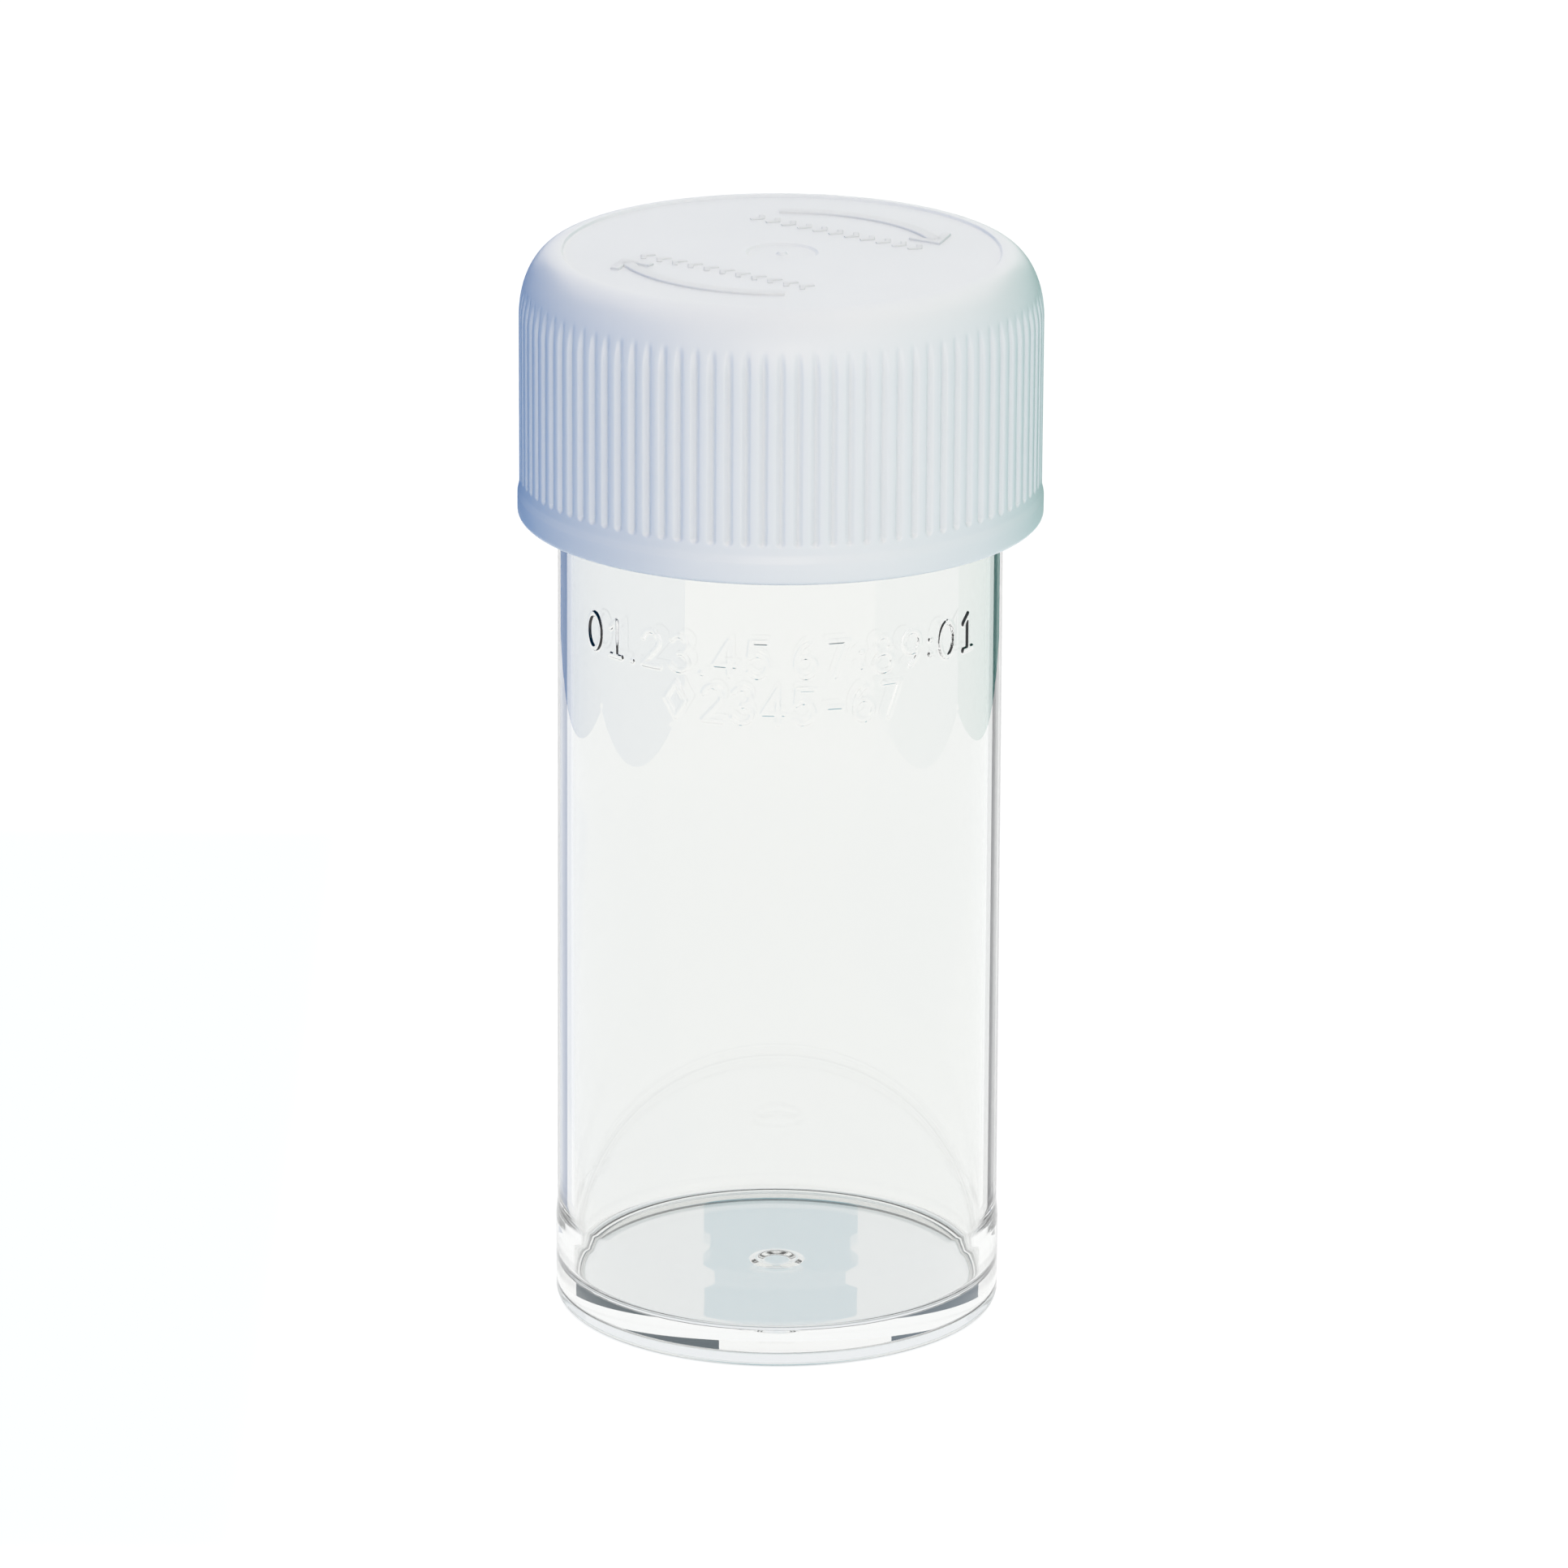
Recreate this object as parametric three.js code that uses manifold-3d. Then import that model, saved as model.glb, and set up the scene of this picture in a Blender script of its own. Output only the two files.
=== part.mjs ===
// Screw-cap specimen tube: a clear flat-bottomed tube, a ribbed screw cap, and the foam liner
// that seals the cap on the tube's rim. It is shown closed.
// Millimetres, +Z up. The origin is the middle of the surface that the tube stands on.
// The thread is right-handed: the cap unscrews counter-clockwise seen from above.

import * as THREE from 'three';
import * as BufferGeometryUtils from 'three/addons/utils/BufferGeometryUtils.js';
import Module from 'manifold-3d';

const wasm = await Module();
wasm.setup();

// ---------- driving dimensions ----------

const HEIGHT = 85.15;               // whole tube with its cap on
const CLEARANCE = 0.3;              // gap where two pieces touch

// tube
const BASE_R = 17.5;                // outer radius of the base band
const BASE_BAND_TOP = 7.2;          // the wall steps in slightly above this height
const BASE_BAND_TAPER = 0.7;        // the step is a soft one, this far either side
const WALL_FOOT_R = 17.38;          // outer radius of the wall just above the base band
const NECK_R = 17.2;                // outer radius of the wall at the neck, after its draft
const BORE_TOP_R = 16.2;
const BORE_FOOT_R = 16.1;
const FLOOR_TOP = 2.55;             // upper face of the tube's floor
const FOOT_DEPTH = 0.9;             // how far the underside is recessed inside the foot ring
const FOOT_INNER_R = 16.1;          // inner edge of the foot ring
const FOOT_EDGE = 0.5;              // round on the tube's lowest outer edge
const FLOOR_FILLET = 1.0;           // round between floor and bore
const PIP_R = 1.6;                  // low moulding ring in the middle of the floor
const PIP_HALF_WIDTH = 0.55;
const PIP_HEIGHT = 0.16;

// thread, one start and one turn on each piece
const PITCH = 4.0;
const RIDGE_HEIGHT = 1.0;
const RIDGE_ROOT = 1.5;             // axial width of a ridge at its root
const RIDGE_CREST = 0.8;
const RIDGE_EMBED = 0.4;            // how far a ridge reaches into the wall that carries it
const THREAD_TURNS = 1.0;
const THREAD_START = 75.2;          // height of the tube's ridge where it starts
const FLANK_GAP = 1.3;              // the cap's ridge runs this far below the tube's

// cap
const CAP_BOTTOM = 64.3;
const FLANGE_R = 20.35;             // plain band round the cap's mouth
const FLANGE_TOP = 65.9;
const CAP_R = 20.2;                 // over the ribs
const RIB_COUNT = 96;
const GROOVE_BOTTOM = 67.2;         // the grooves between the ribs run out above and below
const GROOVE_TOP = 82.4;
const GROOVE_DEPTH = 0.34;
const GROOVE_SHARE = 0.3;           // part of the pitch that the groove takes, the rest is rib
const DOME_BOTTOM = 80.0;           // the rounded shoulder starts here
const RIM_R = 17.1;                 // outer edge of the flat ring on top
const PANEL_R = 16.8;               // the top is recessed inside this radius
const PANEL_DEPTH = 0.2;
const GATE_R = 2.8;                 // shallow moulding dish in the middle of the panel
const GATE_DEPTH = 0.15;
const CAP_THICKNESS = 1.35;         // from the top of the cap to the pocket's ceiling
const SKIRT_BORE_R = 18.65;         // inside of the cap's skirt
const POCKET_R = 18.4;              // pocket that holds the liner
const BEAD_R = 17.6;                // snap bead that keeps the liner in the pocket

// closing arrows on the panel, two of them, half a turn apart
const ARROW_R = 12.35;
const ARROW_WIDTH = 1.0;
const ARROW_RAISE = 0.15;
const ARROW_START = -89;            // degrees, tail of the first arrow
const ARROW_SWEEP = -74;            // clockwise, the way the cap closes
const HEAD_LENGTH = 1.8;
const HEAD_WIDTH = 3.0;

// liner
const LINER_R = 18.0;
const LINER_THICKNESS = 1.0;
const LINER_EDGE = 0.15;

// facets round a full turn
const TUBE_SEGMENTS = 64;
const THREAD_SEGMENTS = 48;
const ARC_STEPS = 5;

// worked out from the above
const CAP_CEILING = HEIGHT - CAP_THICKNESS;
const LINER_TOP = CAP_CEILING - CLEARANCE;
const LINER_BOTTOM = LINER_TOP - LINER_THICKNESS;
const TUBE_RIM = LINER_BOTTOM - CLEARANCE;
const PANEL_TOP = HEIGHT - PANEL_DEPTH;

// ---------- shapes ----------

// points of a round from one point to another, bulging like a quarter of an ellipse;
// the round leaves the first point vertically
function roundUp([r0, z0], [r1, z1], steps = ARC_STEPS) {
  const points = [];
  for (let i = 0; i <= steps; i += 1) {
    const angle = (i / steps) * Math.PI / 2;
    points.push([r1 + (r0 - r1) * Math.cos(angle), z0 + (z1 - z0) * Math.sin(angle)]);
  }
  return points;
}

// a solid of revolution about Z; the profile is [radius, height] pairs from axis to axis
function turned(profile, segments) {
  const points = profile.map(([r, z]) => new THREE.Vector2(r, z));
  return new THREE.LatheGeometry(points, segments).rotateX(Math.PI / 2);
}

// one turn of thread: the centre line of a ridge, framed so that a section's x runs
// outward and its y runs down
class Helix extends THREE.Curve {
  constructor(radius, start) {
    super();
    this.radius = radius;
    this.start = start;
  }

  angle(t) {
    return t * THREAD_TURNS * 2 * Math.PI;
  }

  getPoint(t, target = new THREE.Vector3()) {
    const a = this.angle(t);
    const height = this.start + PITCH * THREAD_TURNS * t;
    return target.set(this.radius * Math.cos(a), this.radius * Math.sin(a), height);
  }

  computeFrenetFrames(segments) {
    const tangents = [];
    const normals = [];
    const binormals = [];
    for (let i = 0; i <= segments; i += 1) {
      const a = this.angle(i / segments);
      tangents.push(new THREE.Vector3(-Math.sin(a), Math.cos(a), 0));
      normals.push(new THREE.Vector3(Math.cos(a), Math.sin(a), 0));
      binormals.push(new THREE.Vector3(0, 0, -1));
    }
    return { tangents, normals, binormals };
  }
}

// a thread ridge on a wall of the given radius; side is +1 for a ridge that stands out
// and -1 for one that stands in
function threadRidge(wallRadius, start, side) {
  const slope = (RIDGE_ROOT - RIDGE_CREST) / 2 / RIDGE_HEIGHT;
  const buried = RIDGE_ROOT / 2 + slope * RIDGE_EMBED;
  const section = new THREE.Shape([
    new THREE.Vector2(-side * RIDGE_EMBED, -buried),
    new THREE.Vector2(side * RIDGE_HEIGHT, -RIDGE_CREST / 2),
    new THREE.Vector2(side * RIDGE_HEIGHT, RIDGE_CREST / 2),
    new THREE.Vector2(-side * RIDGE_EMBED, buried),
  ]);
  return new THREE.ExtrudeGeometry(section, {
    extrudePath: new Helix(wallRadius, start),
    steps: Math.round(THREAD_SEGMENTS * THREAD_TURNS),
  });
}

// ring with a toothed bore, which cuts the grooves between the cap's ribs
function grooveCutter() {
  const clear = 0.1;
  const half = GROOVE_SHARE / 2;
  const flank = GROOVE_SHARE / 3;
  const beyond = flank * clear / GROOVE_DEPTH;
  const tooth = [
    [-half - beyond, CAP_R + clear],
    [-half + flank, CAP_R - GROOVE_DEPTH],
    [half - flank, CAP_R - GROOVE_DEPTH],
    [half + beyond, CAP_R + clear],
  ];
  const teeth = [];
  for (let i = 0; i < RIB_COUNT; i += 1) {
    for (const [share, radius] of tooth) {
      const angle = ((i + share) / RIB_COUNT) * 2 * Math.PI;
      teeth.push(new THREE.Vector2(radius * Math.cos(angle), radius * Math.sin(angle)));
    }
  }
  const ring = new THREE.Shape().absarc(0, 0, CAP_R + 2, 0, 2 * Math.PI, false);
  ring.holes.push(new THREE.Path(teeth));
  const cutter = new THREE.ExtrudeGeometry(ring, { depth: GROOVE_TOP - GROOVE_BOTTOM, bevelEnabled: false });
  return cutter.translate(0, 0, GROOVE_BOTTOM);
}

// flat curved arrow that starts at the given angle, in degrees, and points clockwise
function closingArrow(startDegrees) {
  const start = THREE.MathUtils.degToRad(startDegrees);
  const end = THREE.MathUtils.degToRad(startDegrees + ARROW_SWEEP);
  const inner = ARROW_R - ARROW_WIDTH / 2;
  const outer = ARROW_R + ARROW_WIDTH / 2;
  const tip = end - HEAD_LENGTH / ARROW_R;
  const at = (r, a) => new THREE.Vector2(r * Math.cos(a), r * Math.sin(a));
  const outline = new THREE.Shape();
  outline.absarc(0, 0, outer, start, end, true);
  const head = [
    at(ARROW_R + HEAD_WIDTH / 2, end),
    at(ARROW_R, tip),
    at(ARROW_R - HEAD_WIDTH / 2, end),
  ];
  for (const corner of head) {
    outline.lineTo(corner.x, corner.y);
  }
  outline.absarc(0, 0, inner, end, start, false);
  const depth = ARROW_RAISE + CLEARANCE;
  const arrow = new THREE.ExtrudeGeometry(outline, { depth, bevelEnabled: false, curveSegments: 8 });
  return arrow.translate(0, 0, PANEL_TOP - CLEARANCE);
}

// ---------- booleans ----------

function solid(geometry) {
  const bare = geometry.clone();
  bare.deleteAttribute('normal');
  bare.deleteAttribute('uv');
  const merged = BufferGeometryUtils.mergeVertices(bare);
  const triVerts = [];
  const index = merged.index.array;
  for (let i = 0; i < index.length; i += 3) {
    const [a, b, c] = index.slice(i, i + 3);
    if (a !== b && b !== c && c !== a) {
      triVerts.push(a, b, c);
    }
  }
  const mesh = new wasm.Mesh({
    numProp: 3,
    vertProperties: merged.attributes.position.array,
    triVerts: Uint32Array.from(triVerts),
  });
  return new wasm.Manifold(mesh);
}

function geometryOf(manifold) {
  const { vertProperties, triVerts } = manifold.getMesh();
  const geometry = new THREE.BufferGeometry();
  geometry.setAttribute('position', new THREE.BufferAttribute(vertProperties, 3));
  geometry.setIndex(new THREE.BufferAttribute(triVerts, 1));
  geometry.computeVertexNormals();
  return geometry;
}

// ---------- the three pieces ----------

function tube() {
  const body = turned([
    [0, FOOT_DEPTH],
    [FOOT_INNER_R, FOOT_DEPTH],
    [FOOT_INNER_R + 0.3, 0],
    [BASE_R - FOOT_EDGE, 0],
    [BASE_R - FOOT_EDGE * 0.25, FOOT_EDGE * 0.25],
    [BASE_R, FOOT_EDGE],
    [BASE_R, BASE_BAND_TOP - BASE_BAND_TAPER],
    [WALL_FOOT_R, BASE_BAND_TOP + BASE_BAND_TAPER],
    [NECK_R, TUBE_RIM - 0.4],
    [NECK_R - 0.3, TUBE_RIM],
    [BORE_TOP_R + 0.2, TUBE_RIM],
    [BORE_TOP_R, TUBE_RIM - 0.2],
    [BORE_FOOT_R, FLOOR_TOP + FLOOR_FILLET],
    [BORE_FOOT_R - FLOOR_FILLET * 0.3, FLOOR_TOP + FLOOR_FILLET * 0.3],
    [BORE_FOOT_R - FLOOR_FILLET, FLOOR_TOP],
    [PIP_R + PIP_HALF_WIDTH, FLOOR_TOP],
    [PIP_R, FLOOR_TOP + PIP_HEIGHT],
    [PIP_R - PIP_HALF_WIDTH, FLOOR_TOP - PIP_HEIGHT / 2],
    [0, FLOOR_TOP - PIP_HEIGHT / 2],
  ], TUBE_SEGMENTS);
  return geometryOf(solid(body).add(solid(threadRidge(NECK_R, THREAD_START, 1))));
}

function screwCap() {
  const shell = turned([
    [0, CAP_BOTTOM],
    [FLANGE_R - 0.15, CAP_BOTTOM],
    [FLANGE_R, CAP_BOTTOM + 0.15],
    [FLANGE_R, FLANGE_TOP],
    [CAP_R, FLANGE_TOP + 0.4],
    ...roundUp([CAP_R, DOME_BOTTOM], [RIM_R, HEIGHT]),
    [PANEL_R + 0.15, HEIGHT],
    [PANEL_R, PANEL_TOP],
    [GATE_R, PANEL_TOP],
    [GATE_R - 0.3, PANEL_TOP - GATE_DEPTH],
    [0, PANEL_TOP - GATE_DEPTH],
  ], RIB_COUNT);
  const hollow = turned([
    [0, CAP_BOTTOM - 1],
    [SKIRT_BORE_R + 0.4, CAP_BOTTOM - 1],
    [SKIRT_BORE_R + 0.4, CAP_BOTTOM],
    [SKIRT_BORE_R, CAP_BOTTOM + 0.6],
    [SKIRT_BORE_R, LINER_BOTTOM - 2.0],
    [POCKET_R, LINER_BOTTOM - 1.7],
    [BEAD_R, LINER_BOTTOM - 1.0],
    [BEAD_R, LINER_BOTTOM - 0.6],
    [POCKET_R, LINER_BOTTOM - CLEARANCE],
    [POCKET_R, LINER_TOP],
    [POCKET_R - CLEARANCE, CAP_CEILING],
    [0, CAP_CEILING],
  ], TUBE_SEGMENTS);
  const cap = solid(shell)
    .subtract(solid(grooveCutter()))
    .add(solid(closingArrow(ARROW_START)))
    .add(solid(closingArrow(ARROW_START + 180)))
    .subtract(solid(hollow))
    .add(solid(threadRidge(SKIRT_BORE_R, THREAD_START - FLANK_GAP, -1)));
  return geometryOf(cap);
}

function sealingLiner() {
  return turned([
    [0, LINER_BOTTOM],
    [LINER_R - LINER_EDGE, LINER_BOTTOM],
    [LINER_R, LINER_BOTTOM + LINER_EDGE],
    [LINER_R, LINER_TOP - LINER_EDGE],
    [LINER_R - LINER_EDGE, LINER_TOP],
    [0, LINER_TOP],
  ], TUBE_SEGMENTS);
}

// ---------- assembly ----------

function piece(name, geometry, material) {
  const mesh = new THREE.Mesh(geometry, new THREE.MeshStandardMaterial(material));
  mesh.name = name;
  return mesh;
}

const specimenTube = new THREE.Group();
specimenTube.add(
  piece('tube', tube(), {
    color: 0xeef3f6,
    roughness: 0.05,
    metalness: 0,
    transparent: true,
    opacity: 0.3,
  }),
  piece('screw_cap', screwCap(), { color: 0xe4e8ee, roughness: 0.45, metalness: 0 }),
  piece('sealing_liner', sealingLiner(), { color: 0xf2f2ee, roughness: 0.85, metalness: 0 }),
);

export default specimenTube;
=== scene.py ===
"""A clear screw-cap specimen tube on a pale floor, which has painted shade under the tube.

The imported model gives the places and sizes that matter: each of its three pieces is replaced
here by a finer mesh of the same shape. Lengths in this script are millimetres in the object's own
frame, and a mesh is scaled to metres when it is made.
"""

import math

import bpy
import numpy as np
from mathutils import Matrix, Vector


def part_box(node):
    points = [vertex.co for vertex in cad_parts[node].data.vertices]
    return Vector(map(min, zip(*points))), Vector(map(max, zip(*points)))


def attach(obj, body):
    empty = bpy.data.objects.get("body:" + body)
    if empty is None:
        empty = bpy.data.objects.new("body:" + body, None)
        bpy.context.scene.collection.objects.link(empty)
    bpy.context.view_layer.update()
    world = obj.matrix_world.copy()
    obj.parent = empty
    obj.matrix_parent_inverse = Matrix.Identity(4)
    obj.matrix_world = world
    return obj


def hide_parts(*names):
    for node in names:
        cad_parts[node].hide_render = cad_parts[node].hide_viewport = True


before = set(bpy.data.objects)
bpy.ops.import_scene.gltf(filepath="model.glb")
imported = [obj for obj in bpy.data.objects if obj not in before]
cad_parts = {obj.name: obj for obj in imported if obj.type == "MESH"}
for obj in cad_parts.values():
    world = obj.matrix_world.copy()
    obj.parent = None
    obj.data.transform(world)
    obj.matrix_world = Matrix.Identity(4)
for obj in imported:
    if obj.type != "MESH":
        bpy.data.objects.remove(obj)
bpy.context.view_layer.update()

MM = 0.001
TAU = 2 * math.pi


def box_mm(node):
    """(outer radius, lowest height, highest height) of a round CAD node."""
    low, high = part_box(node)
    return high.x / MM, low.z / MM, high.z / MM


# ---------- sizes ----------

_, FOOT, RIM = box_mm("tube")
FLANGE_R, CAP_BOTTOM, TOP = box_mm("screw_cap")
LINER_R, LINER_LOW, LINER_HIGH = box_mm("sealing_liner")

# tube
BASE_R = 17.5
BASE_BAND_TOP = 7.2
WALL_FOOT_R = 17.38
NECK_R = 17.2
BORE_TOP_R = 16.2
BORE_FOOT_R = 16.1
FLOOR_TOP = 2.55
FOOT_DEPTH = 0.9
FOOT_INNER_R = 16.1
PIP_R = 1.6
PIP_HALF_WIDTH = 0.55
PIP_HEIGHT = 0.16

# thread
PITCH = 4.0
RIDGE_HEIGHT = 0.98
RIDGE_ROOT = 1.5
RIDGE_CREST = 0.8
THREAD_START = 75.2
FLANK_GAP = 1.3
RUN_OUT = math.radians(24)

# cap
CAP_R = 20.2
RIB_COUNT = 96
GROOVE_BOTTOM = 67.2
GROOVE_DEPTH = 0.34
GROOVE_HALF_WIDTH = 0.4
DOME_BOTTOM = 80.0
TOP_RING_R = 17.1
PANEL_R = 16.8
PANEL_DEPTH = 0.2
GATE_R = 2.8
GATE_DEPTH = 0.15
SKIRT_BORE_R = 18.65
POCKET_R = 18.4
BEAD_R = 17.6
CEILING = LINER_HIGH + 0.3

# marks on the cap's panel
ARROW_R = 12.35
ARROW_START = math.radians(-89)
ARROW_SWEEP = math.radians(-74)
ARROW_RAISE = 0.15
MARK_SINK = 0.1
ARROW_HALF_WIDTH = 0.5
CHEVRON_DISTANCE = 7.3
CHEVRON_COUNT = 11
CHEVRON_STEP = 1.5
CHEVRON_HEIGHT = 1.5
CHEVRON_DEPTH = 0.55
CHEVRON_HALF_WIDTH = 0.22
CHEVRON_RAISE = 0.07

# moulded digits on the tube, in two rows, as polar angle and height on the wall
DIGIT_HEIGHT = 2.75
DIGIT_WIDTH = 1.75
DIGIT_RAISE = 0.13
DIGIT_HALF_STROKE = 0.27
FIRST_ROW = 56.15
SECOND_ROW = 52.45

# columns round a full turn
TUBE_COLUMNS = 320
DIGIT_SPLIT = 5

# studio, in metres and linear colour
FLOOR_R = 4.0
FLOOR_OPEN = (0.985, 0.985, 0.985)
# painted shade on the floor: darker under the tube, and a darker painted shadow ring under its foot
FLOOR_PAINTED_SHADE_UNDER_TUBE = (0.87, 0.89, 0.92)
FLOOR_PAINTED_SHADOW_AT_FOOT = (0.55, 0.6, 0.62)
FLOOR_LIGHT = (0.52, 0.61, 0.67)
FLOOR_PAINTED_SHADOW_REACH = 0.02
FLOOR_GAP = 0.00002
SKY_LIGHT = (1.0, 0.98, 0.96)
SKY_STRENGTH = 0.94
# cards behind the tube that paint shade seen only through it
PAINTED_SHADE_CARD_Y = 0.3
PAINTED_SHADE_CARD_Z = 0.17
PAINTED_SHADE_CARD_HEIGHT = 0.17
# height of the cards that paint a dark line of shade along the tube's edges
PAINTED_EDGE_SHADE_HEIGHT = 0.07
ONE_WALL = 2.5

# camera: lens in millimetres, distance in metres, angles in degrees
LENS = 215.8
ELEVATION = 17.86
DISTANCE = 0.7337
ROLL = 0.3


# ---------- outlines ----------


def rounded(corners, step=math.radians(14)):
    """Points (radius, height) of an outline whose corners are (radius, height, round)."""
    points = []
    for i, (r, z, fillet) in enumerate(corners):
        here = np.array([r, z])
        if not fillet or i in (0, len(corners) - 1):
            points.append((r, z))
            continue
        back = np.array(corners[i - 1][:2]) - here
        ahead = np.array(corners[i + 1][:2]) - here
        back /= np.linalg.norm(back)
        ahead /= np.linalg.norm(ahead)
        half = math.acos(np.clip(back @ ahead, -1, 1)) / 2
        middle = (back + ahead) / np.linalg.norm(back + ahead)
        centre = here + middle * fillet / math.sin(half)
        start = here + back * fillet / math.tan(half) - centre
        turn = math.pi - 2 * half
        side = math.copysign(1, back[0] * ahead[1] - back[1] * ahead[0])
        steps = max(2, math.ceil(turn / step))
        for k in range(steps + 1):
            a = -side * turn * k / steps
            x = start[0] * math.cos(a) - start[1] * math.sin(a)
            y = start[0] * math.sin(a) + start[1] * math.cos(a)
            points.append((centre[0] + x, centre[1] + y))
    return points


def braced(points, reach=0.1, long=0.5):
    """The outline with a point near each end of its long straight stretches, so that flats shade flat."""
    result = [points[0]]
    for a, b in zip(points, points[1:]):
        a, b = np.array(a), np.array(b)
        length = np.linalg.norm(b - a)
        if length > long:
            along = (b - a) / length
            result += [tuple(a + along * reach), tuple(b - along * reach)]
        result.append(tuple(b))
    return result


def even(count):
    return np.arange(count) * TAU / count


# ---------- surfaces of revolution ----------


class Turned:
    """A closed surface of revolution, made row by row from axis to axis.

    Each row has its own columns. Where they change, one row's columns are among the other's.
    """

    def __init__(self):
        self.points = []
        self.faces = []
        self.count = 0
        self.last = None

    def _add(self, points):
        ids = np.arange(self.count, self.count + len(points))
        self.points.append(points)
        self.count += len(points)
        return ids

    def pole(self, height):
        (tip,) = self._add(np.array([[0.0, 0.0, height]]))
        if self.last is not None:
            columns, ids = self.last
            self.faces += [(ids[i], ids[(i + 1) % len(ids)], tip) for i in range(len(ids))]
        self.tip = tip
        self.last = None

    def row(self, columns, radius, height):
        radius = np.broadcast_to(radius, columns.shape)
        height = np.broadcast_to(height, columns.shape)
        ids = self._add(np.stack([radius * np.cos(columns), radius * np.sin(columns), height], 1))
        if self.last is None:
            self.faces += [(self.tip, ids[(i + 1) % len(ids)], ids[i]) for i in range(len(ids))]
        else:
            self._bridge(self.last, (columns, ids))
        self.last = (columns, ids)

    def rows(self, columns, points, relief=None):
        for r, z in points:
            self.row(columns, r + relief(columns, z) if relief else r, z)

    def _bridge(self, below, above):
        few, many = (below, above) if len(below[0]) <= len(above[0]) else (above, below)
        place = np.searchsorted(many[0], few[0] - 1e-6)
        place = np.append(place, len(many[0]))
        for i in range(len(few[0])):
            one = [few[1][i], few[1][(i + 1) % len(few[1])]]
            other = [many[1][k % len(many[1])] for k in range(place[i], place[i + 1] + 1)]
            low, high = (one, other) if few is below else (other, one)
            self.faces.append(tuple(low) + tuple(reversed(high)))

    def mesh(self, name):
        return make_mesh(name, np.concatenate(self.points), self.faces)


def make_mesh(name, points, faces):
    mesh = bpy.data.meshes.new(name)
    mesh.from_pydata((np.asarray(points) * MM).tolist(), [], [tuple(int(i) for i in f) for f in faces])
    mesh.validate()
    mesh.shade_smooth()
    mesh.set_sharp_from_angle(angle=math.radians(38))
    return mesh


def new_object(name, data):
    obj = bpy.data.objects.new(name, data)
    bpy.context.scene.collection.objects.link(obj)
    return obj


def add_piece(name, mesh, material, body, node):
    piece = new_object(name, mesh)
    piece.data.materials.append(material)
    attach(piece, body)
    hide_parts(node)
    return piece


# ---------- relief on the surfaces ----------


def ease(x):
    """0 below 0, 1 above 1, and smooth between."""
    x = np.clip(x, 0, 1)
    return x * x * (3 - 2 * x)


def thread_relief(start):
    """Height of a one-turn ridge whose centre line starts at that height."""
    root, crest = RIDGE_ROOT / 2, RIDGE_CREST / 2

    def relief(columns, z):
        height = np.zeros(columns.shape)
        for lap in (-1, 0, 1):
            turn = columns + lap * TAU
            off = np.abs(z - (start + PITCH * turn / TAU))
            ends = ease((turn + RUN_OUT) / RUN_OUT) * ease((TAU + RUN_OUT - turn) / RUN_OUT)
            height = np.maximum(height, np.clip((root - off) / (root - crest), 0, 1) * ends)
        return RIDGE_HEIGHT * height

    return relief


def cap_radius(z):
    """Outer radius over the ribs and up the rounded shoulder."""
    share = np.clip((z - DOME_BOTTOM) / (TOP - DOME_BOTTOM), 0, 1)
    return TOP_RING_R + (CAP_R - TOP_RING_R) * math.sqrt(1 - share * share)


def groove_relief(columns, z):
    """Depth, below zero, of the upright grooves between the ribs, which run out in the shoulder."""
    pitch = TAU / RIB_COUNT
    across = ((columns + pitch / 2) % pitch - pitch / 2) * CAP_R
    past_end = max(GROOVE_BOTTOM + GROOVE_HALF_WIDTH - z, 0)
    distance = np.hypot(across, past_end)
    depth = np.clip(cap_radius(z) - CAP_R + GROOVE_DEPTH, 0, GROOVE_DEPTH)
    return -depth * ease(1 - distance / GROOVE_HALF_WIDTH)


# ---------- stroke digits ----------


def bow(cx, cy, rx, ry, start, end, steps=14):
    """An arc of an ellipse as points, with angles in degrees."""
    angles = np.radians(np.linspace(start, end, steps + 1))
    return np.stack([cx + rx * np.cos(angles), cy + ry * np.sin(angles)], 1)


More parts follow.
